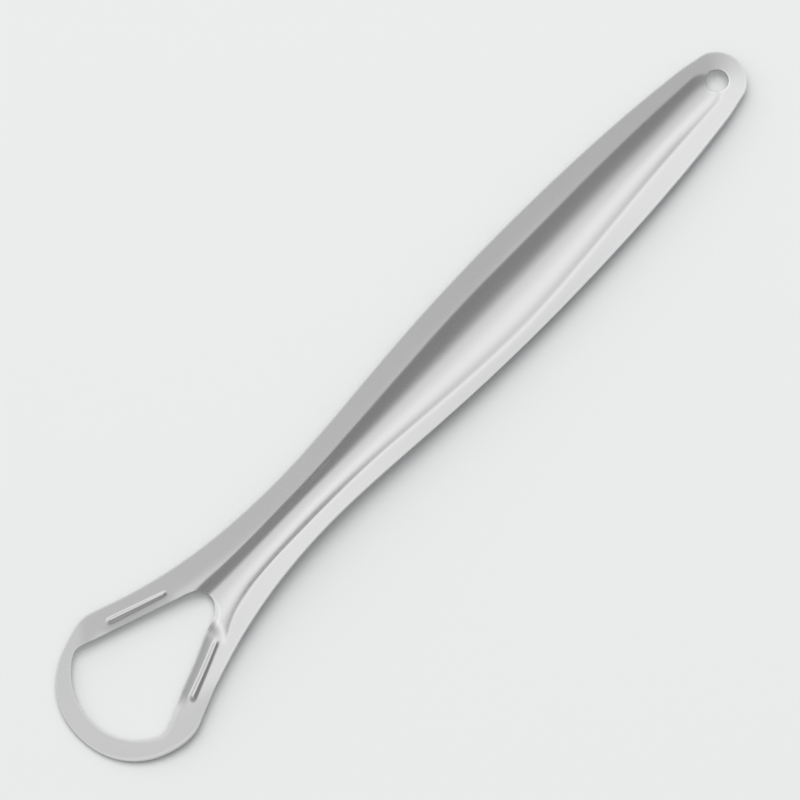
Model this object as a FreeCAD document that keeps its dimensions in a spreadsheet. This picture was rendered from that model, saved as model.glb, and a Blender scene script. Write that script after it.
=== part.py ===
"""Tongue scraper: one sheet of stainless steel, blanked to its outline and pressed to shape.

Millimetres. +X runs along the tool from the scraping loop to the tip with the hang hole, Y runs
across it, and +Z points up, away from the surface that the tool lies on. X and Y are zero in the
middle of the tool, and Z is zero at the lowest point of the turned-down lip, on which it lies.
"Along" is the distance from the end of the loop, measured on the centre line.
"""
import FreeCAD, Part
import math
import os

SIZES = [
    ("overall_length", 149.0, "end of the loop to the tip"),
    ("sheet_thickness", 0.8, "stainless steel sheet"),
    ("head_width", 25.0, "widest place of the loop"),
    ("head_from_end", 13.4, "widest place of the loop from its end"),
    ("shoulder_step", 0.95, "each arm's outer edge starts this far inside the widest place"),
    ("shoulder_from_end", 16.3, "where the arms start"),
    ("neck_width", 10.8, "narrowest place of the handle"),
    ("neck_from_end", 51.3, "narrowest place from the loop's end"),
    ("handle_width", 15.6, "widest place of the handle"),
    ("handle_from_tip", 48.8, "widest place of the handle from the tip"),
    ("tip_radius", 4.9, "round end of the handle"),
    ("hole_length", 26.8, "loop's hole along the tool"),
    ("hole_from_end", 3.0, "loop's hole from the loop's end"),
    ("hole_end_radius", 10.75, "wide round end of the loop's hole"),
    ("hole_corner_radius", 2.2, "rounding where its straight sides meet the wide end"),
    ("hole_apex_radius", 3.4, "narrow round end of the loop's hole"),
    ("hole_side_angle", 20.0, "degrees, lean of its straight sides"),
    ("hang_hole_diameter", 3.7, "round hole at the tip"),
    ("hang_hole_from_tip", 4.7, "centre of the hang hole"),
    ("rim_height_at_head", 2.75, "rim above the rest plane at the widest place of the loop"),
    ("rim_height_at_neck", 4.35, "the same at the neck, the highest place of the bow"),
    ("rim_height_at_tip", 2.75, "the same at the tip"),
    ("head_flange_angle", 8.5, "degrees, the flanges rise outwards from the loop to the neck"),
    ("handle_flange_angle", 10.5, "degrees, the same on the handle"),
    ("dish_run", 3.5, "width of the rising flange, rim to dished floor"),
    ("dish_softness", 0.5, "rounding where flange and floor meet"),
    ("channel_width", 8.7, "stiffening channel at its widest"),
    ("channel_neck_width", 4.8, "the same at the neck"),
    ("channel_mouth_width", 5.7, "the same where it opens into the loop's hole"),
    ("channel_tip_width", 5.5, "the same at its round end by the hang hole"),
    ("channel_depth", 1.9, "channel below the dished floor at its widest"),
    ("channel_widest_from_tip", 53.5, "widest place of the channel"),
    ("channel_end_from_tip", 7.5, "centre of its round end"),
    ("channel_turn_from_end", 95.0, "its near side is the wider one up to here"),
    ("channel_turn_run", 40.0, "length over which its far side becomes the wider one"),
    ("channel_run_out_from_tip", 19.0, "where it starts to run out towards the hang hole"),
    ("channel_run_out", 14.0, "length over which it gets shallower there"),
    ("mouth_length", 12.2, "length over which the channel narrows behind its mouth"),
    ("mouth_flare", 2.4, "how far the mouth's near side opens towards its arm"),
    ("mouth_flare_length", 9.2, "length of that flare"),
    ("mouth_from_end", 26.3, "where the flare meets the arm's rib"),
    ("mouth_fade", 2.6, "length over which the channel's floor runs out there"),
    ("lip_height", 0.855, "upper face of the lip above the rest plane at its middle"),
    ("lip_angle", 6.5, "degrees, how far the lip is turned down towards its end"),
    ("lip_twist", 1.72, "degrees, how far it leans down to the near side"),
    ("lip_off_centre", 0.5, "its outer edge lies this far to the near side"),
    ("lip_shift_from_end", 9.0, "where that starts to fade"),
    ("lip_shift_fade", 7.0, "length over which it fades"),
    ("fold_softness", 0.15, "press radius of the fold"),
    ("hole_off_centre", 0.5, "the near side of the hole lies this far inwards"),
    ("hole_shift_start", 1.0, "where that starts, from the loop's end"),
    ("hole_shift_run", 8.0, "length over which it starts"),
    ("hole_shift_width", 6.0, "width over which it passes from side to side"),
    ("hole_more_off_centre", 0.5, "added to that at the narrow end of the hole"),
    ("hole_more_from_end", 20.0, "where the addition starts"),
    ("hole_more_run", 8.0, "length over which it is added"),
    ("hole_shift_fade", 6.0, "length behind the hole over which it all fades"),
    ("rib_length", 10.1, "raised rib on each arm"),
    ("rib_width", 1.0, "the same across"),
    ("rib_height", 0.6, "the same above the sheet"),
    ("rib_from_end", 20.6, "middle of the rib from the loop's end"),
    ("rib_from_hole", 1.5, "the rib's centre line from the hole's straight side"),
    ("strip_up_angle", 22.8, "degrees, strip between the near arm's rib and the hole, turned up"),
    ("strip_down_angle", 5.7, "degrees, the same on the far arm, turned down"),
    ("strip_from_rib", 0.45, "the strip's bend from the rib's centre line"),
    ("strip_softness", 0.2, "rounding of that bend"),
    ("strip_fade", 2.7, "length over which the strip runs out at each end"),
    ("strip_past_rib", 1.8, "how far it reaches past the rib"),
]

doc = FreeCAD.newDocument("tongue_scraper")
sizes = doc.addObject("Spreadsheet::Sheet", "sizes")
for row, (name, value, note) in enumerate(SIZES, start=1):
    sizes.set(f"A{row}", name)
    sizes.set(f"B{row}", str(value))
    sizes.set(f"C{row}", note)
    sizes.setAlias(f"B{row}", name)
doc.recompute()

# every size, read back from the spreadsheet
size = {name: float(sizes.get(name)) for name, value, note in SIZES}

length = size["overall_length"]
thickness = size["sheet_thickness"]
neck_along = size["neck_from_end"]
widest_along = length - size["handle_from_tip"]
tip_centre_along = length - size["tip_radius"]
hole_start = size["hole_from_end"]
hole_stop = hole_start + size["hole_length"]

# The hole's straight sides run from its wide end's corners and touch its narrow round apex.
apex_radius = size["hole_apex_radius"]
apex_centre = hole_stop - apex_radius
side_lean = math.radians(size["hole_side_angle"])
side_slope = math.tan(side_lean)
apex_touch = (apex_centre + apex_radius * math.sin(side_lean), apex_radius * math.cos(side_lean))

head_flange_angle = math.radians(size["head_flange_angle"])
handle_flange_angle = math.radians(size["handle_flange_angle"])
channel_widest = length - size["channel_widest_from_tip"]
channel_end = length - size["channel_end_from_tip"]

# The cut edge stands square to the sheet, so where the sheet rises outwards its lower corner is
# the outermost. The upper face's outline lies inside the named widths by this much.
head_overhang = thickness * math.sin(head_flange_angle)
handle_overhang = thickness * math.sin(handle_flange_angle)
head_half = size["head_width"] / 2 - head_overhang
shoulder_half = size["head_width"] / 2 - size["shoulder_step"] - head_overhang
neck_half = size["neck_width"] / 2 - head_overhang
handle_half = size["handle_width"] / 2 - handle_overhang
tip_round = size["tip_radius"] - handle_overhang

rib_half = size["rib_length"] / 2
rib_from_centre = (apex_touch[1] + (apex_touch[0] - size["rib_from_end"]) * side_slope
                   + size["rib_from_hole"] / math.cos(side_lean))


def flat(along, across):
    """A point of the flat blank, in the part's X and Y."""
    return FreeCAD.Base.Vector2d(along - length / 2, across)


def closed_outline(side):
    """A smooth closed curve through one side's (along, across) points and their mirror images.

    The side's first and last points lie on the centre line. Returns the curve and its two halves.
    """
    there = [flat(along, across) for along, across in side]
    back = [flat(along, -across) for along, across in reversed(side[1:-1])]
    curve = Part.Geom2d.BSplineCurve2d()
    curve.interpolate(there + back, PeriodicFlag=True)
    turn = curve.parameter(there[-1])
    halves = []
    for first, last in ((curve.FirstParameter, turn), (turn, curve.LastParameter)):
        half = curve.copy()
        half.segment(first, last)
        halves.append(half)
    return curve, halves


# The blank's outer edge: a slightly squared half ellipse round the loop, the arms' hollow flanks,
# the leaf-shaped handle and its round tip.
def outer_side():
    points = []
    loop_steps = 5
    squareness = 0.93  # 1 would be a plain ellipse
    for step in range(loop_steps + 1):
        turn = math.pi / 2 * step / loop_steps
        points.append((size["head_from_end"] * (1 - max(math.cos(turn), 0.0) ** squareness),
                       head_half * math.sin(turn) ** squareness))
    flank_shares = (1.0, 0.9, 0.76, 0.6, 0.42, 0.2)
    for share in flank_shares:
        flank_along = neck_along - share * (neck_along - size["shoulder_from_end"])
        points.append((flank_along, neck_half + (shoulder_half - neck_half) * share ** 2.3))
    # (share of the way from neck to widest place, share of the swell)
    swell_shares = ((0.0, 0.0), (0.225, 0.215), (0.355, 0.42), (0.485, 0.62), (0.61, 0.785),
                    (0.805, 0.945), (1.0, 1.0))
    for way_share, swell_share in swell_shares:
        points.append((neck_along + (widest_along - neck_along) * way_share,
                       neck_half + (handle_half - neck_half) * swell_share))
    # (share of the way from the widest place to the tip's round end, share of the narrowing)
    taper_shares = ((0.285, 0.07), (0.5, 0.21), (0.68, 0.40), (0.86, 0.67), (0.94, 0.82))
    for way_share, narrowing_share in taper_shares:
        points.append((widest_along + (tip_centre_along - widest_along) * way_share,
                       handle_half - (handle_half - tip_round) * narrowing_share))
    tip_steps = 3
    for step in range(tip_steps + 1):
        turn = math.pi / 2 * (1 - step / tip_steps)
        points.append((tip_centre_along + tip_round * math.cos(turn),
                       tip_round * math.sin(turn)))
    return points


# The loop's hole: a wide round end by the lip, rounded corners, straight sides along the arms and
# a narrow round apex where the channel opens into it.
def hole_side():
    end_radius = size["hole_end_radius"]
    end_centre = hole_start + end_radius

    # the rounded corner's centre is one corner radius inside the side line and inside the wide
    # end's circle: that offset line, across = start - slope * along, meets the smaller circle
    corner = size["hole_corner_radius"]
    start = apex_touch[1] + apex_touch[0] * side_slope - corner / math.cos(side_lean)
    square = 1 + side_slope ** 2
    linear = end_centre + start * side_slope
    constant = end_centre ** 2 + start ** 2 - (end_radius - corner) ** 2
    corner_along = (linear - math.sqrt(linear ** 2 - square * constant)) / square
    corner_across = start - side_slope * corner_along
    end_turn = math.atan2(corner_across, end_centre - corner_along)

    points = []
    end_steps = 4
    for step in range(end_steps):
        turn = end_turn * step / end_steps
        points.append((end_centre - end_radius * math.cos(turn), end_radius * math.sin(turn)))
    corner_steps = 4
    for step in range(corner_steps + 1):
        turn = end_turn + (math.pi / 2 + side_lean - end_turn) * step / corner_steps
        points.append((corner_along - corner * math.cos(turn),
                       corner_across + corner * math.sin(turn)))
    side_start = points[-1]
    straight_shares = (0.08, 0.25, 0.5, 0.75, 0.92)
    for share in straight_shares:
        points.append((side_start[0] + (apex_touch[0] - side_start[0]) * share,
                       side_start[1] + (apex_touch[1] - side_start[1]) * share))
    apex_steps = 4
    for step in range(apex_steps + 1):
        turn = (math.pi / 2 - side_lean) * (1 - step / apex_steps)
        points.append((apex_centre + apex_radius * math.cos(turn), apex_radius * math.sin(turn)))
    return points


outer_curve, outer_halves = closed_outline(outer_side())
hole_curve, hole_halves = closed_outline(hole_side())


def distance_inside(curve, point):
    """Distance from a closed outline in the plan, positive on its inner side."""
    place = curve.parameter(point)
    nearest = curve.value(place)
    heading = curve.tangent(place)
    offset = (point.x - nearest.x, point.y - nearest.y)
    side = heading.x * offset[1] - heading.y * offset[0]
    return math.copysign(math.hypot(*offset), -side)


def soft_positive(value, softness):
    """The value where it is positive and zero elsewhere, with a rounded bend."""
    return (value + math.sqrt(value ** 2 + softness ** 2)) / 2


def eased(value, start, stop):
    """Rises smoothly from 0 at start to 1 at stop."""
    share = min(max((value - start) / (stop - start), 0.0), 1.0)
    return share * share * (3 - 2 * share)


def rim_height(along):
    """Height of the outer rim: level along the loop, highest at the neck, lower at the tip."""
    neck = size["rim_height_at_neck"]
    if along < neck_along:
        head = size["rim_height_at_head"]
        return head + (neck - head) * eased(along, size["head_from_end"], neck_along)
    share = (along - neck_along) / (length - neck_along)
    return neck - (neck - size["rim_height_at_tip"]) * share ** 2


def flange_slope(along):
    """How steeply the flanges rise to the rim, more so on the handle than on the loop's arms."""
    at_head, at_handle = math.tan(head_flange_angle), math.tan(handle_flange_angle)
    return at_head + (at_handle - at_head) * eased(along, neck_along, channel_widest)


def channel_half_width(along, across):
    """Half width of the channel, and its half width on this side, with the mouth's flare."""
    neck = size["channel_neck_width"] / 2
    widest = size["channel_width"] / 2
    turn = eased(along, size["channel_turn_from_end"],
                 size["channel_turn_from_end"] + size["channel_turn_run"])
    near_share = 0.12 - 0.2 * turn  # how much wider than half the near side is
    one_side = 1 + (near_share if across < 0 else -near_share)
    if along < neck_along:
        mouth = size["channel_mouth_width"] / 2
        half = mouth + (neck - mouth) * eased(along, hole_stop, hole_stop + size["mouth_length"])
        reach = size["mouth_from_end"] + size["mouth_flare_length"] - along
        flare = size["mouth_flare"] * (max(reach, 0.0) / size["mouth_flare_length"]) ** 2
        return half, half * one_side + (flare if across < 0 else 0.0)
    if along < channel_widest:
        half = neck + (widest - neck) * eased(along, neck_along, channel_widest)
    else:
        share = (along - channel_widest) / (channel_end - channel_widest)
        half = widest - (widest - size["channel_tip_width"] / 2) * share ** 1.3
    return half, half * one_side


def channel_drop(along, across):
    """Depth of the channel below the dished floor: a round section with firm shoulders."""
    half, half_here = channel_half_width(along, across)
    share = math.hypot(max(along - channel_end, 0.0), across) / half_here
    fullness = 2.4 * half_here / half
    mouth = size["mouth_from_end"]
    present = eased(along, mouth - size["mouth_fade"] / 2, mouth + size["mouth_fade"] / 2)
    run_out = length - size["channel_run_out_from_tip"]
    present *= 1 - 0.4 * eased(along, run_out, run_out + size["channel_run_out"])
    depth = size["channel_depth"] * 2 * half / size["channel_width"] * present
    shoulder = 0.06  # rounding of the channel's shoulders, as a share of its depth
    return depth * (soft_positive(1 - share ** fullness, shoulder) - soft_positive(-8, shoulder))


def along_rib(along, across):
    """Place of a point lengthwise and sideways to the rib on its arm, from the rib's middle."""
    back = along - size["rib_from_end"]
    out = abs(across) - rib_from_centre
    return (back * math.cos(side_lean) - out * math.sin(side_lean),
            back * math.sin(side_lean) + out * math.cos(side_lean))


def rib_rise(along, across):
    """The raised rib along an arm: a straight ridge with round ends."""
    lengthwise, sideways = along_rib(along, across)
    half_width = size["rib_width"] / 2
    beyond = max(abs(lengthwise) - rib_half + half_width, 0.0)
    foot_share = 1.3  # the rounded foot spreads a little past the rib's stated width
    share = math.hypot(beyond, sideways) / (half_width * foot_share)
    return size["rib_height"] * max(1 - share ** 2, 0.0) ** 2


def strip_rise(along, across):
    """How far the strip between a rib and the hole is turned up, or down on the far arm."""
    lengthwise, sideways = along_rib(along, across)
    stop = rib_half + size["strip_past_rib"]
    present = 1 - eased(abs(lengthwise), stop - size["strip_fade"], stop)
    turned_up = math.tan(math.radians(size["strip_up_angle"]))
    if across > 0:
        turned_up = -math.tan(math.radians(size["strip_down_angle"]))
    past_bend = soft_positive(-sideways - size["strip_from_rib"], size["strip_softness"])
    return turned_up * present * past_bend


def lip_height(along, across):
    """The flat lip, turned down towards the loop's end and leaning a little to the near side."""
    return (size["lip_height"] + math.tan(math.radians(size["lip_angle"])) * along
            + math.tan(math.radians(size["lip_twist"])) * across)


def pressed_height(along, across):
    """Height of the sheet's upper face over a point of the blank."""
    to_rim = distance_inside(outer_curve, flat(along, across))
    run = size["dish_run"]
    into_dish = run - soft_positive(run - to_rim, size["dish_softness"])
    height = rim_height(along) - flange_slope(along) * into_dish - channel_drop(along, across)
    if along > hole_stop:
        return height

    # the loop's flange is folded down where it would stand above the flat lip
    height -= soft_positive(height - lip_height(along, across), size["fold_softness"])
    return height + strip_rise(along, across) + rib_rise(along, across)


def sideways_slip(along, across):
    """How far the lip's outer edge and the hole's near side are pressed off centre."""
    fade_start = hole_stop
    fade_stop = hole_stop + size["hole_shift_fade"]
    if along > fade_stop:
        return 0.0
    point = flat(along, across)
    from_hole = max(-distance_inside(hole_curve, point), 0.0)
    to_rim = max(distance_inside(outer_curve, point), 0.0)
    share = from_hole / max(from_hole + to_rim, thickness / 10)
    lip_start = size["lip_shift_from_end"]
    outwards = 1 - eased(along, lip_start, lip_start + size["lip_shift_fade"])
    half_run = size["hole_shift_width"] / 2
    hole_start_run = size["hole_shift_start"] + size["hole_shift_run"]
    near_side = (1 - eased(across, -half_run, half_run)) * eased(
        along, size["hole_shift_start"], hole_start_run)
    more_start = size["hole_more_from_end"]
    inwards = size["hole_off_centre"] + size["hole_more_off_centre"] * eased(
        along, more_start, more_start + size["hole_more_run"])
    inwards *= (1 - share) ** 2 * near_side * (1 - eased(along, fade_start, fade_stop))
    return inwards - size["lip_off_centre"] * share * outwards


# The two faces of the sheet are smooth surfaces over the blank, with a denser net of control
# points where the folds and ribs are.
DEGREE = 3


def net_knots(start, zones):
    """Knot places: from start, each zone runs to its stop in steps of its spacing."""
    knots = [start]
    for stop, spacing in zones:
        steps = max(1, round((stop - knots[-1]) / spacing))
        first = knots[-1]
        knots += [first + (stop - first) * step / steps for step in range(1, steps + 1)]
    return knots


def greville(knots):
    """Places of the control points for which the surface keeps the plan's own coordinates."""
    flat_knots = [knots[0]] * DEGREE + knots + [knots[-1]] * DEGREE
    return [sum(flat_knots[i + 1:i + 1 + DEGREE]) / DEGREE for i in range(len(knots) + DEGREE - 1)]


def surface(poles, knots_along, knots_across):
    result = Part.BSplineSurface()
    counts_along = [DEGREE + 1] + [1] * (len(knots_along) - 2) + [DEGREE + 1]
    counts_across = [DEGREE + 1] + [1] * (len(knots_across) - 2) + [DEGREE + 1]
    result.buildFromPolesMultsKnots(poles, counts_along, counts_across, knots_along,
                                    knots_across, False, False, DEGREE, DEGREE)
    return result


steps_in_rib = 4
steps_in_flange = 3
tip_steps_in_flange = 9
fine_step = size["rib_width"] / steps_in_rib
coarse_step = size["dish_run"] / steps_in_flange
tip_step = size["dish_run"] / tip_steps_in_flange
margin = thickness
knots_along = net_knots(-length / 2 - margin, (
    (hole_stop + size["mouth_flare_length"] - length / 2, fine_step),
    (length / 2 - size["channel_end_from_tip"] - size["channel_tip_width"], coarse_step),
    (length / 2 + margin, tip_step)))
knots_across = net_knots(-head_half - margin, ((head_half + margin, fine_step),))
places_along = greville(knots_along)
places_across = greville(knots_across)
upper = [[FreeCAD.Vector(x, y + sideways_slip(x + length / 2, y),
                         pressed_height(x + length / 2, y)) for y in places_across]
         for x in places_along]


def sheet_normal(i, j):
    """Unit normal of the upper face at a control point, from its neighbours."""
    before, after = upper[max(i - 1, 0)][j], upper[min(i + 1, len(upper) - 1)][j]
    left, right = upper[i][max(j - 1, 0)], upper[i][min(j + 1, len(upper[i]) - 1)]
    return (after - before).cross(right - left).normalize()


lower = [[upper[i][j] - sheet_normal(i, j) * thickness for j in range(len(upper[i]))]
         for i in range(len(upper))]
upper_surface = surface(upper, knots_along, knots_across)
lower_surface = surface(lower, knots_along, knots_across)

# The cut edges stand square to the sheet: each joins the same outline on both faces.
def trimmed_face(carrier):
    """The face of one side of the sheet, and the wires of its outer edge and of the loop's hole."""
    wires = [Part.Wire([half.toShape(carrier) for half in halves])
             for halves in (outer_halves, hole_halves)]
    face = Part.Face(carrier, wires[0])
    face.addWire(wires[1])
    return face, wires


upper_face, upper_wires = trimmed_face(upper_surface)
lower_face, lower_wires = trimmed_face(lower_surface)
walls = [Part.makeRuledSurface(upper_edge, lower_edge)
         for upper_wire, lower_wire in zip(upper_wires, lower_wires)
         for upper_edge, lower_edge in zip(upper_wire.Edges, lower_wire.Edges)]
shell = Part.makeShell([upper_face, lower_face] + walls)
shell.sewShape()
pressed_sheet = doc.addObject("Part::Feature", "pressed_sheet")
pressed_sheet.Shape = Part.makeSolid(shell)

# The hang hole is punched straight down through the dished tip.
punch = doc.addObject("Part::Cylinder", "hang_hole_punch")
punch.setExpression("Radius", "sizes.hang_hole_diameter / 2")
punch.setExpression("Height", "sizes.rim_height_at_neck * 2")
punch.setExpression("Placement.Base.x", "sizes.overall_length / 2 - sizes.hang_hole_from_tip")
punch.setExpression("Placement.Base.z", "-sizes.rim_height_at_neck / 2")

body = doc.addObject("Part::Cut", "scraper_body")
body.Label = "scraper_body"
body.Base = pressed_sheet
body.Tool = punch
body.Placement = FreeCAD.Placement()
doc.recompute()

for item in doc.Objects:
    if "Invalid" in item.State or "Error" in item.State:
        raise RuntimeError(f"{item.Label} did not recompute: {item.State}")
if body.Shape.isNull() or not body.Shape.isValid():
    raise RuntimeError("scraper_body is not a valid solid")
os.makedirs("parts", exist_ok=True)
body.Shape.exportStep("parts/scraper_body.step")
points, facets = body.Shape.tessellate(thickness / 20)
print(f"{len(body.Shape.Solids)} solid, {len(body.Shape.Faces)} faces")
for axis in ("x", "y", "z"):
    reach = [getattr(point, axis) for point in points]
    print(f"{axis} from {min(reach):.2f} to {max(reach):.2f} mm")
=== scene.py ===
import math

import bmesh
import bpy
from mathutils import Matrix, Vector, geometry
from mathutils.kdtree import KDTree


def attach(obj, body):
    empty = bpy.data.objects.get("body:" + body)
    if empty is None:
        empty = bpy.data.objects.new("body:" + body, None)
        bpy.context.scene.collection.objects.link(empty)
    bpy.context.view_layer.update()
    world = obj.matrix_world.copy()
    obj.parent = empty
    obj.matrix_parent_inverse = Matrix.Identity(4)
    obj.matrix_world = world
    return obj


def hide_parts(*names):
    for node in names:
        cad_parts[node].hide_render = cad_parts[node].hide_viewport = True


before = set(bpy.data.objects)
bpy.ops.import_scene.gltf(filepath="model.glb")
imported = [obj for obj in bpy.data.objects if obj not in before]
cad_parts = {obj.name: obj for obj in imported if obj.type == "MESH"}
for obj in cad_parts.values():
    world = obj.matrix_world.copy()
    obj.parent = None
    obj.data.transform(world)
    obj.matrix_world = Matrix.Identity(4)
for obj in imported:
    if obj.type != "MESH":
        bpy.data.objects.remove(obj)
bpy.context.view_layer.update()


# THE BLANK
# The whole tool is one piece of 0.8 mm stainless sheet. It is punched out flat first, with the
# loop's hole and the small hang hole. Sizes are in millimetres: "along" counts from the loop's end,
# and "across" from the centre line, below zero on the near side.
tool_length = 149.0
sheet_thickness = 0.8
head_flange_angle = math.radians(8.5)
handle_flange_angle = math.radians(10.5)
head_overhang = sheet_thickness * math.sin(head_flange_angle)
handle_overhang = sheet_thickness * math.sin(handle_flange_angle)
head_from_end = 13.4
head_half = 12.494 - head_overhang
head_roundness = 0.93
shoulder_from_end = 16.3
shoulder_half = 11.55 - head_overhang
neck_from_end = 51.3
neck_half = 5.4 - head_overhang
arm_sweep = 2.3
leaf_from_end = tool_length - 48.8
leaf_half = 7.8 - handle_overhang
tip_from_centre = 4.9
tip_round = tip_from_centre - handle_overhang
tip_centre = tool_length - tip_from_centre
hole_start = 3.0
hole_stop = 29.8
hole_end_radius = 10.75
hole_corner_radius = 2.2
apex_radius = 3.4
apex_centre = hole_stop - apex_radius
side_lean = math.radians(20)
side_slope = math.tan(side_lean)
apex_touch = (apex_centre + apex_radius * math.sin(side_lean), apex_radius * math.cos(side_lean))
hang_centre = tool_length - 4.7
hang_radius = 1.85

# (share of the way from the neck to the leaf's widest place, share of the swell there)
leaf_swell = ((0.0, 0.0), (0.225, 0.215), (0.355, 0.42), (0.485, 0.62), (0.61, 0.785),
              (0.805, 0.945), (1.0, 1.0))
# (share of the way from there to the round tip, share of the narrowing there)
tip_narrowing = ((0.285, 0.07), (0.5, 0.21), (0.68, 0.40), (0.86, 0.67), (0.94, 0.82))


def outer_edge_points():
    """The blank's outer edge from the loop's end to the tip, on one side of the centre line."""
    points = []
    for step in range(6):
        turn = math.pi / 2 * step / 5
        points.append((head_from_end * (1 - math.cos(turn) ** head_roundness),
                       head_half * math.sin(turn) ** head_roundness))
    for share in (1.0, 0.9, 0.76, 0.6, 0.42, 0.2):
        points.append((neck_from_end - share * (neck_from_end - shoulder_from_end),
                       neck_half + (shoulder_half - neck_half) * share ** arm_sweep))
    for way, swell in leaf_swell:
        points.append((neck_from_end + (leaf_from_end - neck_from_end) * way,
                       neck_half + (leaf_half - neck_half) * swell))
    for way, narrowing in tip_narrowing:
        points.append((leaf_from_end + (tip_centre - leaf_from_end) * way,
                       leaf_half - (leaf_half - tip_round) * narrowing))
    for step in range(4):
        turn = math.pi / 2 * (1 - step / 3)
        points.append((tip_centre + tip_round * math.cos(turn), tip_round * math.sin(turn)))
    return points


def loop_hole_points():
    """The loop's hole from its wide end, round a corner and along an arm to its narrow apex."""
    end_centre = hole_start + hole_end_radius
    start = apex_touch[1] + apex_touch[0] * side_slope - hole_corner_radius / math.cos(side_lean)
    square = 1 + side_slope ** 2
    linear = end_centre + start * side_slope
    constant = end_centre ** 2 + start ** 2 - (hole_end_radius - hole_corner_radius) ** 2
    corner_along = (linear - math.sqrt(linear ** 2 - square * constant)) / square
    corner_across = start - side_slope * corner_along
    end_turn = math.atan2(corner_across, end_centre - corner_along)
    points = []
    for step in range(4):
        turn = end_turn * step / 4
        points.append((end_centre - hole_end_radius * math.cos(turn),
                       hole_end_radius * math.sin(turn)))
    for step in range(5):
        turn = end_turn + (math.pi / 2 + side_lean - end_turn) * step / 4
        points.append((corner_along - hole_corner_radius * math.cos(turn),
                       corner_across + hole_corner_radius * math.sin(turn)))
    side = points[-1]
    for share in (0.08, 0.25, 0.5, 0.75, 0.92):
        points.append((side[0] + (apex_touch[0] - side[0]) * share,
                       side[1] + (apex_touch[1] - side[1]) * share))
    for step in range(5):
        turn = (math.pi / 2 - side_lean) * (1 - step / 4)
        points.append((apex_centre + apex_radius * math.cos(turn), apex_radius * math.sin(turn)))
    return points


def smooth_edge(points, spacing=0.05):
    """Close-set points on a smooth line through the given ones, square to the centre line."""
    places = [Vector(place) for place in points]
    ends = [Vector((places[1].x, -places[1].y)), Vector((places[-2].x, -places[-2].y))]
    chain = [ends[0]] + places + [ends[1]]
    headings = []
    for before, here, after in zip(chain, chain[1:], chain[2:]):
        back, ahead = (here - before).length, (after - here).length
        headings.append((here - before) / back * (ahead / (back + ahead))
                        + (after - here) / ahead * (back / (back + ahead)))
    line = [places[0]]
    for start, stop, leaving, arriving in zip(places, places[1:], headings, headings[1:]):
        run = (stop - start).length
        steps = max(2, round(run / spacing))
        for step in range(1, steps + 1):
            way = step / steps
            line.append(start * (2 * way ** 3 - 3 * way ** 2 + 1)
                        + leaving * run * (way ** 3 - 2 * way ** 2 + way)
                        + stop * (3 * way ** 2 - 2 * way ** 3)
                        + arriving * run * (way ** 3 - way ** 2))
    return line


outer_edge = smooth_edge(outer_edge_points())
hole_edge = smooth_edge(loop_hole_points())


class Edge:
    """One side of an edge of the blank, to measure how far a place of the sheet is from it."""

    def __init__(self, line):
        self.line = line
        self.tree = KDTree(len(line))
        for number, place in enumerate(line):
            self.tree.insert((place.x, place.y, 0), number)
        self.tree.balance()

    def distance(self, along, across):
        """Distance from the edge, positive to the right of its run from the loop to the tip."""
        here = Vector((along, abs(across)))
        number = self.tree.find((here.x, here.y, 0))[1]
        best = None
        for first in (max(number - 1, 0), min(number, len(self.line) - 2)):
            start, stop = self.line[first], self.line[first + 1]
            share = geometry.intersect_point_line(here, start, stop)[1]
            nearest = start.lerp(stop, min(max(share, 0.0), 1.0))
            gap = (here - nearest).length
            if best is None or gap < abs(best):
                heading = stop - start
                offset = here - nearest
                turned_right = heading.x * offset.y - heading.y * offset.x <= 0
                best = gap if turned_right else -gap
        return best


outer_rim = Edge(outer_edge)
hole_rim = Edge(hole_edge)


# THE PRESSING
# The blank is then pressed in one die: flanges that rise to the rim, a long channel that stiffens
# the handle, a rib and a tilted strip on each arm, and the loop's end, a flat lip that is turned
# down to scrape. Heights are those of the upper face over the table, in millimetres.
head_rim = 2.749
neck_rim = 4.349
tip_rim = 2.749
dish_reach = 3.5
dish_bend = 0.5
near_flange_flatter = 0.14
handle_middle = 92.0
handle_middle_reach = 46.0
neck_begins = (26.0, 35.0)
neck_ends = (50.0, 66.0)

channel_depth = 1.9
deeper_at_neck = 0.3
shallower_at_tip = 0.4
mouth_half = 2.85
mouth_run_out = 42.0
mouth_flare = 3.2
flare_from_end = 36.5
flare_length = 10.0
channel_neck_half = 2.4
widest_half = 4.35
widest_from_end = 95.5
channel_end_half = 2.75
channel_end_narrowing = 1.3
channel_end = 141.5
channel_opens = (25.2, 27.8)
channel_rises = (130.0, 144.0)
near_half_wider = 0.12
near_half_wider_at_neck = 0.1
near_half_narrower_at_tip = 0.2
near_half_narrows = (95.0, 135.0)
near_half_wider_halfway = 0.6
line_off_centre = 0.35
wall_flatness = 2.4
wall_change = 0.5
edge_bend = 0.06
near_edge_softer = 0.1
near_edge_softens = (45.0, 75.0)
outside_channel = -8.0

rib_half_length = 5.05
rib_half_width = 0.5
rib_height = 0.5
rib_foot = 1.2
rib_share_at_middle = 0.85
rib_taper = 0.15
rib_from_end = 20.6
rib_from_hole = 1.5
rib_from_centre = (apex_touch[1] + (apex_touch[0] - rib_from_end) * side_slope
                   + rib_from_hole / math.cos(side_lean))
near_strip_tilt = 0.42
far_strip_tilt = -0.1
strip_from_rib = 0.45
strip_bend = 0.2
strip_fades = (rib_half_length - 0.9, rib_half_length + 1.8)

lip_low_edge = 0.858
lip_rise_along = 0.114
lip_rise_across = 0.03
lip_bend = 0.15
lip_off_centre = 0.5
lip_ends = (9.0, 16.0)
hole_off_centre = 0.5
hole_slip_begins = (1.0, 9.0)
hole_slip_doubles = (20.0, 28.0)
hole_slip_ends = (30.0, 36.0)
far_side_begins = (-3.0, 3.0)


def rounded(value, radius):
    """The value where it is positive and zero elsewhere, with a rounded bend."""
    return (value + math.sqrt(value ** 2 + radius ** 2)) / 2


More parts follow.
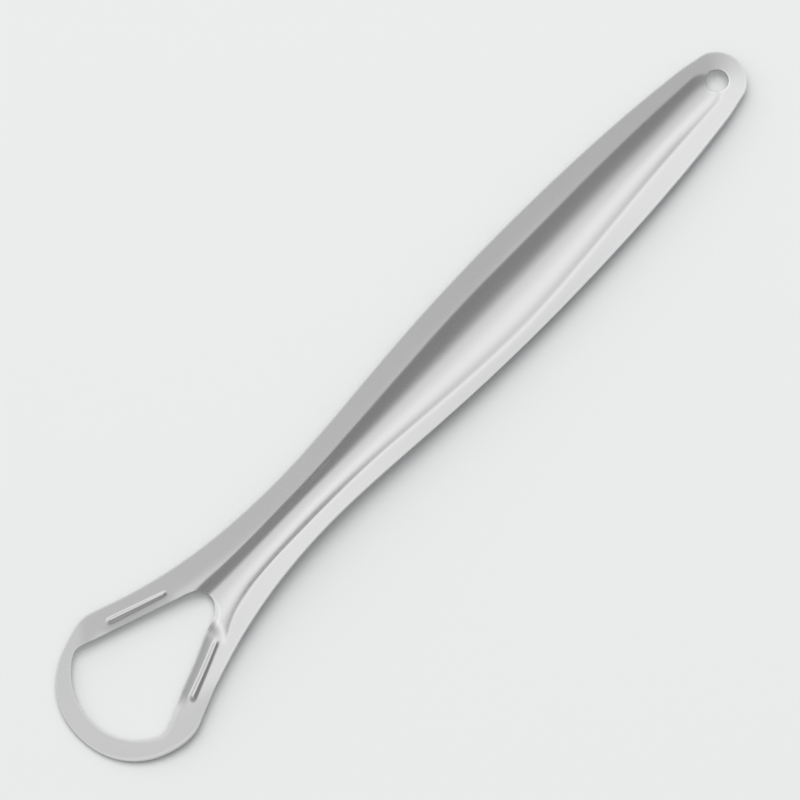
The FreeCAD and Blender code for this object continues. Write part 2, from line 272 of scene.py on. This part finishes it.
def eased(value, start, stop):
    """Zero up to the start and one from the stop on, with a smooth change between."""
    share = min(max((value - start) / (stop - start), 0.0), 1.0)
    return share * share * (3 - 2 * share)


def halfway(along):
    """One halfway along the handle, easing to nothing at the neck and near the tip."""
    return max(1 - ((along - handle_middle) / handle_middle_reach) ** 2, 0.0) ** 2


def round_neck(along):
    """One at the neck, easing to nothing at the channel's mouth and along the handle."""
    return eased(along, *neck_begins) * (1 - eased(along, *neck_ends))


def rim_height(along):
    """Height of the outer rim, which is highest at the neck."""
    if along < neck_from_end:
        return head_rim + (neck_rim - head_rim) * eased(along, head_from_end, neck_from_end)
    way = (along - neck_from_end) / (tool_length - neck_from_end)
    return neck_rim - (neck_rim - tip_rim) * way ** 2


def flange_slopes(along, across):
    """Slope of both flanges, and of this side's: the near one is flatter halfway."""
    at_head, at_handle = math.tan(head_flange_angle), math.tan(handle_flange_angle)
    both = at_head + (at_handle - at_head) * eased(along, neck_from_end, widest_from_end)
    return both, both - (near_flange_flatter * halfway(along) if across < 0 else 0.0)


def channel_line(along):
    """Where the channel's lowest line runs: round the neck it lies to the far side."""
    return line_off_centre * round_neck(along)


def channel_half_widths(along, across):
    """The channel's half width, and that of this side alone: the near side is wider."""
    wider = (near_half_wider + near_half_wider_at_neck * round_neck(along)
             - near_half_narrower_at_tip * eased(along, *near_half_narrows))
    one_side = 1 + (wider if across < channel_line(along) else -wider)
    if along < neck_from_end:
        narrowed = eased(along, hole_stop, mouth_run_out)
        half = mouth_half - (mouth_half - channel_neck_half) * narrowed
        near_extra = mouth_flare * (max(flare_from_end - along, 0.0) / flare_length) ** 2
    elif along < widest_from_end:
        swell = eased(along, neck_from_end, widest_from_end)
        half = channel_neck_half + (widest_half - channel_neck_half) * swell
        near_extra = near_half_wider_halfway * halfway(along)
    else:
        way = (along - widest_from_end) / (channel_end - widest_from_end)
        half = widest_half - (widest_half - channel_end_half) * way ** channel_end_narrowing
        near_extra = near_half_wider_halfway * halfway(along)
    return half, half * one_side + (near_extra if across < 0 else 0.0)


def channel_drop(along, across):
    """How far the channel lies under the flanges, with a round end near the hang hole."""
    half, half_here = channel_half_widths(along, across)
    off = channel_line(along)
    flatness = wall_flatness * half_here / half
    bend = edge_bend
    if across < off:
        flatness -= wall_change * halfway(along)
        bend += near_edge_softer * eased(along, *near_edge_softens)
        half_here += off
    else:
        flatness += wall_change * round_neck(along)
        half_here -= off
    share = math.hypot(max(along - channel_end, 0.0), across - off) / half_here
    depth = (channel_depth + deeper_at_neck * round_neck(along)) * half / widest_half
    depth *= eased(along, *channel_opens) * (1 - shallower_at_tip * eased(along, *channel_rises))
    outside = rounded(outside_channel, bend)
    return depth * (rounded(1 - share ** flatness, bend) - outside) / (rounded(1, bend) - outside)


def along_rib(along, across):
    """Place of a point lengthwise and sideways to the rib, from the rib's middle."""
    back, out = along - rib_from_end, abs(across) - rib_from_centre
    return (back * math.cos(side_lean) - out * math.sin(side_lean),
            back * math.sin(side_lean) + out * math.cos(side_lean))


def rib_rise(along, across):
    """Height of the rib, which is lower and narrower towards the neck."""
    lengthwise, sideways = along_rib(along, across)
    beyond = max(abs(lengthwise) - rib_half_length + rib_half_width, 0.0)
    taper = rib_share_at_middle - rib_taper * lengthwise / rib_half_length
    share = math.hypot(beyond, sideways) / (rib_half_width * rib_foot * taper)
    return rib_height * taper * max(1 - share ** 2, 0.0) ** 2


def strip_rise(along, across):
    """How far the strip between the rib and the hole is turned up."""
    lengthwise, sideways = along_rib(along, across)
    present = 1 - eased(abs(lengthwise), *strip_fades)
    tilt = near_strip_tilt if across < 0 else far_strip_tilt
    return tilt * present * rounded(-sideways - strip_from_rib, strip_bend)


def sideways_slip(along, across):
    """How far a place lies off centre: the lip's outer edge and the near edge of the hole."""
    from_hole = max(-hole_rim.distance(along, across), 0.0)
    share = from_hole / (from_hole + max(outer_rim.distance(along, across), 0.0))
    outwards = lip_off_centre * share * (1 - eased(along, *lip_ends))
    near_side = (1 - eased(across, *far_side_begins)) * eased(along, *hole_slip_begins)
    inwards = hole_off_centre * (1 + eased(along, *hole_slip_doubles)) * (1 - share) ** 2
    return inwards * near_side * (1 - eased(along, *hole_slip_ends)) - outwards


def pressed_height(along, across):
    """Height of the sheet's upper face."""
    out_of_dish = rounded(dish_reach - outer_rim.distance(along, across), dish_bend)
    both, one_side = flange_slopes(along, across)
    height = rim_height(along) - both * dish_reach + one_side * out_of_dish
    height -= channel_drop(along, across)
    if along > hole_stop:
        return height
    lip = lip_low_edge + lip_rise_along * along + lip_rise_across * across
    height -= rounded(height - lip, lip_bend)
    return height + strip_rise(along, across) + rib_rise(along, across)


# THE PRESSED SHEET
# A flat net of quads is laid over half the blank, in rows from the holes' edges and the centre line
# out to the outer edge. It is mirrored, pressed to height and given its thickness, and its punched
# edges are rounded, as tumbling leaves them.
quads_across = 26
edge_quad = 0.27
edge_radius = 0.2
polish_and_highlight_reach = 0.2
sharp_fold = math.radians(55)
hang_steps = 90


def lengths_along(line):
    """How far along a line each of its points is."""
    total, lengths = 0.0, [0.0]
    for before, here in zip(line, line[1:]):
        total += (here - before).length
        lengths.append(total)
    return lengths


def place_at(line, lengths, wanted):
    """The place that is so far along a line."""
    low, high = 0, len(lengths) - 1
    while high - low > 1:
        middle = (low + high) // 2
        low, high = (middle, high) if lengths[middle] <= wanted else (low, middle)
    span = lengths[high] - lengths[low]
    return line[low].lerp(line[high], min(max((wanted - lengths[low]) / span, 0.0), 1.0))


def length_near(line, lengths, place):
    """How far along a line its point nearest to a place is."""
    nearest = min(range(len(line)), key=lambda number: (line[number] - Vector(place)).length)
    return lengths[nearest]


hang_edge = [Vector((hang_centre - hang_radius * math.cos(math.pi * step / hang_steps),
                     hang_radius * math.sin(math.pi * step / hang_steps)))
             for step in range(hang_steps + 1)]
inner_line = hole_edge + hang_edge
inner_lengths = lengths_along(inner_line)
outer_lengths = lengths_along(outer_edge)

# (place on the inner line, the place of the outer edge that its row of the net runs to)
row_ties = (((3.0, 0), (0, 0)), ((6.3, 8.0), (3.2, 8.2)), ((9.8, 9.9), (8.4, 11.2)),
            ((13.4, 8.55), (14.2, 12.0)), ((20, 6.05), (22.2, 10.0)), ((27.6, 3.18), (30.5, 8.3)),
            ((29.8, 0), (34.0, 7.2)), ((42, 0), (43.5, 5.6)), ((52, 0), (52, 5)),
            ((137, 0), (137, 6)), ((142.45, 0), (141.4, 5)), ((144.3, 1.85), (144.9, 4.5)),
            ((146.15, 0), (148.8, 0)))


def inner_length(place):
    """How far along the inner line a place is, by the centre line between the two holes."""
    if hole_stop <= place[0] <= hang_centre - hang_radius and place[1] == 0:
        return lengths_along(hole_edge)[-1] + place[0] - hole_stop
    return length_near(inner_line, inner_lengths, place)


tie_lengths = [(inner_length(inner), length_near(outer_edge, outer_lengths, outer))
               for inner, outer in row_ties]
apex_length = inner_length((hole_stop, 0))
hang_start_length = inner_length((hang_centre - hang_radius, 0))
neck_length = apex_length + 14
tip_length = hang_start_length - 4
row_lengths = []
# (where the rows start, where they stop, how far apart they are)
for start, stop, spacing in ((0.0, apex_length, 0.3), (apex_length, neck_length, 0.42),
                             (neck_length, tip_length, 0.65),
                             (tip_length, inner_lengths[-1], 0.32)):
    steps = round((stop - start) / spacing)
    row_lengths += [start + (stop - start) * step / steps for step in range(steps)]
row_lengths.append(inner_lengths[-1])


def net_row(inner_at):
    """The two ends of one row of the net."""
    for (inner_a, outer_a), (inner_b, outer_b) in zip(tie_lengths, tie_lengths[1:]):
        if inner_at <= inner_b or inner_b == tie_lengths[-1][0]:
            share = min(max((inner_at - inner_a) / (inner_b - inner_a), 0.0), 1.0)
            return (place_at(inner_line, inner_lengths, inner_at),
                    place_at(outer_edge, outer_lengths, outer_a + (outer_b - outer_a) * share))


rows_along = len(row_lengths) - 1
sheet_mesh = bmesh.new()
bmesh.ops.create_grid(sheet_mesh, x_segments=rows_along, y_segments=quads_across, size=1)
row_ends = [net_row(inner_at) for inner_at in row_lengths]
for corner in sheet_mesh.verts:
    row = round((corner.co.x + 1) / 2 * rows_along)
    column = round((corner.co.y + 1) / 2 * quads_across)
    inner, outer = row_ends[row]
    width = (outer - inner).length
    if column == 0 or column == quads_across:
        share = column / quads_across
    else:
        share = (edge_quad + (width - 2 * edge_quad) * (column - 1) / (quads_across - 2)) / width
    place = inner.lerp(outer, share)
    corner.co = (place.x, place.y, 0)
bmesh.ops.mirror(sheet_mesh, geom=sheet_mesh.verts[:] + sheet_mesh.edges[:] + sheet_mesh.faces[:],
                 merge_dist=0.001, axis="Y")
bmesh.ops.remove_doubles(sheet_mesh, verts=sheet_mesh.verts, dist=0.001)
for corner in sheet_mesh.verts:
    corner.co.z = pressed_height(corner.co.x, corner.co.y)
    corner.co.y += sideways_slip(corner.co.x, corner.co.y)
bmesh.ops.recalc_face_normals(sheet_mesh, faces=sheet_mesh.faces)
if sum(face.normal.z for face in sheet_mesh.faces) < 0:
    bmesh.ops.reverse_faces(sheet_mesh, faces=sheet_mesh.faces)
bmesh.ops.solidify(sheet_mesh, geom=sheet_mesh.faces[:], thickness=sheet_thickness)
sheet_mesh.normal_update()
sharp = [edge for edge in sheet_mesh.edges
         if len(edge.link_faces) == 2 and edge.calc_face_angle() > sharp_fold]
bmesh.ops.bevel(sheet_mesh, geom=sharp, offset=edge_radius, offset_type="OFFSET", segments=3,
                profile=0.5, affect="EDGES", clamp_overlap=True, material=-1)
# How near each corner is to a punched edge: this makes the edges smoother and lightens their
# colour, partly polish and partly a painted highlight.
polish_and_highlight_layer = sheet_mesh.verts.layers.float.new("edge_polish_and_highlight")
for corner in sheet_mesh.verts:
    reach = min(abs(outer_rim.distance(corner.co.x, corner.co.y)),
                abs(hole_rim.distance(corner.co.x, corner.co.y)),
                abs(math.hypot(corner.co.x - hang_centre, corner.co.y) - hang_radius))
    corner[polish_and_highlight_layer] = math.exp(-(reach / polish_and_highlight_reach) ** 2)
bmesh.ops.translate(sheet_mesh, verts=sheet_mesh.verts, vec=(-tool_length / 2, 0, 0))
bmesh.ops.scale(sheet_mesh, verts=sheet_mesh.verts, vec=(0.001, 0.001, 0.001))
scraper = bpy.data.objects.new("pressed_scraper", bpy.data.meshes.new("pressed_scraper"))
sheet_mesh.to_mesh(scraper.data)
sheet_mesh.free()
bpy.context.scene.collection.objects.link(scraper)
for face in scraper.data.polygons:
    face.use_smooth = True
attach(scraper, "root")
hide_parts("scraper_body")


# THE STEEL
# Stainless steel with a fine satin finish: short grain along the tool, faint clouds where the
# polish varies, a few hairline scratches, and smoother punched edges whose colour is also lighter,
# partly polish and partly a painted highlight.
steel = bpy.data.materials.new("satin_stainless_steel")
steel.use_nodes = True
nodes, links = steel.node_tree.nodes, steel.node_tree.links
shader = nodes["Principled BSDF"]
shader.inputs["Metallic"].default_value = 1.0
place = nodes.new("ShaderNodeTexCoord")


def grain_noise(stretch, scale, detail):
    """Noise on the object's own coordinates, stretched along the tool."""
    mapping = nodes.new("ShaderNodeMapping")
    mapping.inputs["Scale"].default_value = (1 / stretch, 1, 1)
    links.new(place.outputs["Object"], mapping.inputs["Vector"])
    noise = nodes.new("ShaderNodeTexNoise")
    noise.inputs["Scale"].default_value = scale
    noise.inputs["Detail"].default_value = detail
    links.new(mapping.outputs["Vector"], noise.inputs["Vector"])
    return noise.outputs["Fac"]


def ranged(value, low, high, from_low=0.3, from_high=0.7):
    """A value spread over another range."""
    spread = nodes.new("ShaderNodeMapRange")
    spread.inputs["From Min"].default_value = from_low
    spread.inputs["From Max"].default_value = from_high
    spread.inputs["To Min"].default_value = low
    spread.inputs["To Max"].default_value = high
    links.new(value, spread.inputs["Value"])
    return spread.outputs["Result"]


def combined(first, second, operation):
    """Two values added, or one taken from the other."""
    sum_node = nodes.new("ShaderNodeMath")
    sum_node.operation = operation
    links.new(first, sum_node.inputs[0])
    links.new(second, sum_node.inputs[1])
    return sum_node.outputs["Value"]


fine_grain = grain_noise(stretch=8, scale=9000, detail=2)
clouds = grain_noise(stretch=2.5, scale=90, detail=2)
scratches = grain_noise(stretch=70, scale=6500, detail=1)
polish_and_highlight = nodes.new("ShaderNodeAttribute")
polish_and_highlight.attribute_name = "edge_polish_and_highlight"

tone = nodes.new("ShaderNodeMix")
tone.data_type = "RGBA"
tone.inputs["A"].default_value = (0.655, 0.655, 0.66, 1)
tone.inputs["B"].default_value = (0.70, 0.70, 0.705, 1)
shade = combined(ranged(clouds, low=0.2, high=0.8), ranged(fine_grain, low=-0.15, high=0.15),
                 "ADD")
# The punched edges' colour is lightened: partly polish, partly a painted highlight along them.
edge_polish_and_painted_highlight = ranged(polish_and_highlight.outputs["Fac"], low=0.0, high=1.2, from_low=0.0, from_high=1.0)
links.new(combined(shade, edge_polish_and_painted_highlight, "ADD"), tone.inputs["Factor"])
tone.clamp_factor = False
links.new(tone.outputs["Result"], shader.inputs["Base Color"])

roughness = combined(ranged(clouds, low=0.27, high=0.33),
                     ranged(fine_grain, low=-0.03, high=0.03), "ADD")
smoother_edge = ranged(polish_and_highlight.outputs["Fac"], low=0.0, high=0.14, from_low=0.0, from_high=1.0)
roughness = combined(roughness, smoother_edge, "SUBTRACT")
links.new(roughness, shader.inputs["Roughness"])

relief = combined(ranged(fine_grain, low=0.0, high=0.6),
                  ranged(scratches, low=0.0, high=0.4, from_low=0.62, from_high=0.75), "SUBTRACT")
bump = nodes.new("ShaderNodeBump")
bump.inputs["Strength"].default_value = 0.2
bump.inputs["Distance"].default_value = 0.000006
links.new(relief, bump.inputs["Height"])
links.new(bump.outputs["Normal"], shader.inputs["Normal"])
scraper.data.materials.append(steel)


# THE TABLE
# A plain pale sheet of matt paper that the tool lies on, a hair under its lowest point. It reaches
# far past the picture on every side, so that it is seen behind the tool from low down as well.
floor_half = 12
floor_gap = 0.00003
floor_mesh = bmesh.new()
bmesh.ops.create_grid(floor_mesh, x_segments=1, y_segments=1, size=floor_half)
bmesh.ops.translate(floor_mesh, verts=floor_mesh.verts, vec=(0, 0, -floor_gap))
floor = bpy.data.objects.new("pale_table", bpy.data.meshes.new("pale_table"))
floor_mesh.to_mesh(floor.data)
floor_mesh.free()
bpy.context.scene.collection.objects.link(floor)
paper = bpy.data.materials.new("pale_matt_paper")
paper.use_nodes = True
paper.node_tree.nodes["Principled BSDF"].inputs["Base Color"].default_value = (0.68, 0.69, 0.692, 1)
paper.node_tree.nodes["Principled BSDF"].inputs["Roughness"].default_value = 0.9
paper.node_tree.nodes["Principled BSDF"].inputs["Specular IOR Level"].default_value = 0.1
floor.data.materials.append(paper)


# THE STUDIO
# Soft light from one side. The room is brighter there, which is what the steel mirrors. One large
# diffuser high up on that side gives the shadow, and another straight above lightens it.
light_from = Vector((0.26, 0.29, 0.92)).normalized()
straight_up = Vector((0, 0, 1))
room_light = 0.25
world = bpy.data.worlds.new("studio")
bpy.context.scene.world = world
world.use_nodes = True
sky_nodes, sky_links = world.node_tree.nodes, world.node_tree.links
sky_place = sky_nodes.new("ShaderNodeTexCoord")


def glow(direction, exponent, strength):
    """A soft light panel far off in a direction of the room."""
    towards = sky_nodes.new("ShaderNodeVectorMath")
    towards.operation = "DOT_PRODUCT"
    towards.inputs[1].default_value = Vector(direction).normalized()
    sky_links.new(sky_place.outputs["Generated"], towards.inputs[0])
    facing = sky_nodes.new("ShaderNodeMath")
    facing.operation = "MAXIMUM"
    facing.inputs[1].default_value = 0
    sky_links.new(towards.outputs["Value"], facing.inputs[0])
    narrowed = sky_nodes.new("ShaderNodeMath")
    narrowed.operation = "POWER"
    narrowed.inputs[1].default_value = exponent
    sky_links.new(facing.outputs["Value"], narrowed.inputs[0])
    panel = sky_nodes.new("ShaderNodeMath")
    panel.operation = "MULTIPLY"
    panel.inputs[1].default_value = strength
    sky_links.new(narrowed.outputs["Value"], panel.inputs[0])
    return panel.outputs["Value"]


panels = sky_nodes.new("ShaderNodeMath")
panels.operation = "ADD"
sky_links.new(glow((0.15, 0.70, 0.70), 1.9, 1.0), panels.inputs[0])
sky_links.new(glow((-0.6, -0.6, 0.55), 2.0, 0.16), panels.inputs[1])
brightness = sky_nodes.new("ShaderNodeMath")
brightness.operation = "ADD"
brightness.inputs[1].default_value = room_light
sky_links.new(panels.outputs["Value"], brightness.inputs[0])
sky_links.new(brightness.outputs["Value"], sky_nodes["Background"].inputs["Strength"])
sky_nodes["Background"].inputs["Color"].default_value = (1, 1, 1, 1)


def diffuser(name, direction, distance, size, energy):
    """A square lamp behind a diffuser, turned to the tool."""
    lamp = bpy.data.objects.new(name, bpy.data.lights.new(name, "AREA"))
    lamp.data.shape = "SQUARE"
    lamp.data.size = size
    lamp.data.energy = energy
    lamp.visible_glossy = False
    lamp.location = direction * distance
    lamp.rotation_euler = direction.to_track_quat("Z", "Y").to_euler()
    bpy.context.scene.collection.objects.link(lamp)


diffuser("main_diffuser", light_from, distance=1.9, size=1.2, energy=13.8)
diffuser("filling_diffuser", straight_up, distance=2.0, size=1.5, energy=10.8)


# THE CAMERA
# It looks almost straight down from a metre away, leaning a little towards the loop's end and the
# near side, with the tool running from the lower left to the upper right.
lean_to_side, lean_to_end, turned = (math.radians(angle) for angle in (10, 10, 45.68))
away = Vector((-math.tan(lean_to_end), -math.tan(lean_to_side), 1)).normalized()
tool_way = (Vector((1, 0, 0)) - away * away.x).normalized()
cross_way = away.cross(tool_way)
picture_right = tool_way * math.cos(turned) - cross_way * math.sin(turned)
picture_up = tool_way * math.sin(turned) + cross_way * math.cos(turned)
camera = bpy.data.objects.new("camera", bpy.data.cameras.new("camera"))
camera.data.lens = 289.3
camera.data.sensor_width = 36
camera.data.clip_end = 10
aim = Vector((-0.00202, 0.00067, 0.002))
stand = Matrix((picture_right, picture_up, away)).transposed().to_4x4()
stand.translation = aim + away
camera.matrix_world = stand
bpy.context.scene.collection.objects.link(camera)
bpy.context.scene.camera = camera
bpy.context.scene.view_settings.view_transform = "Standard"
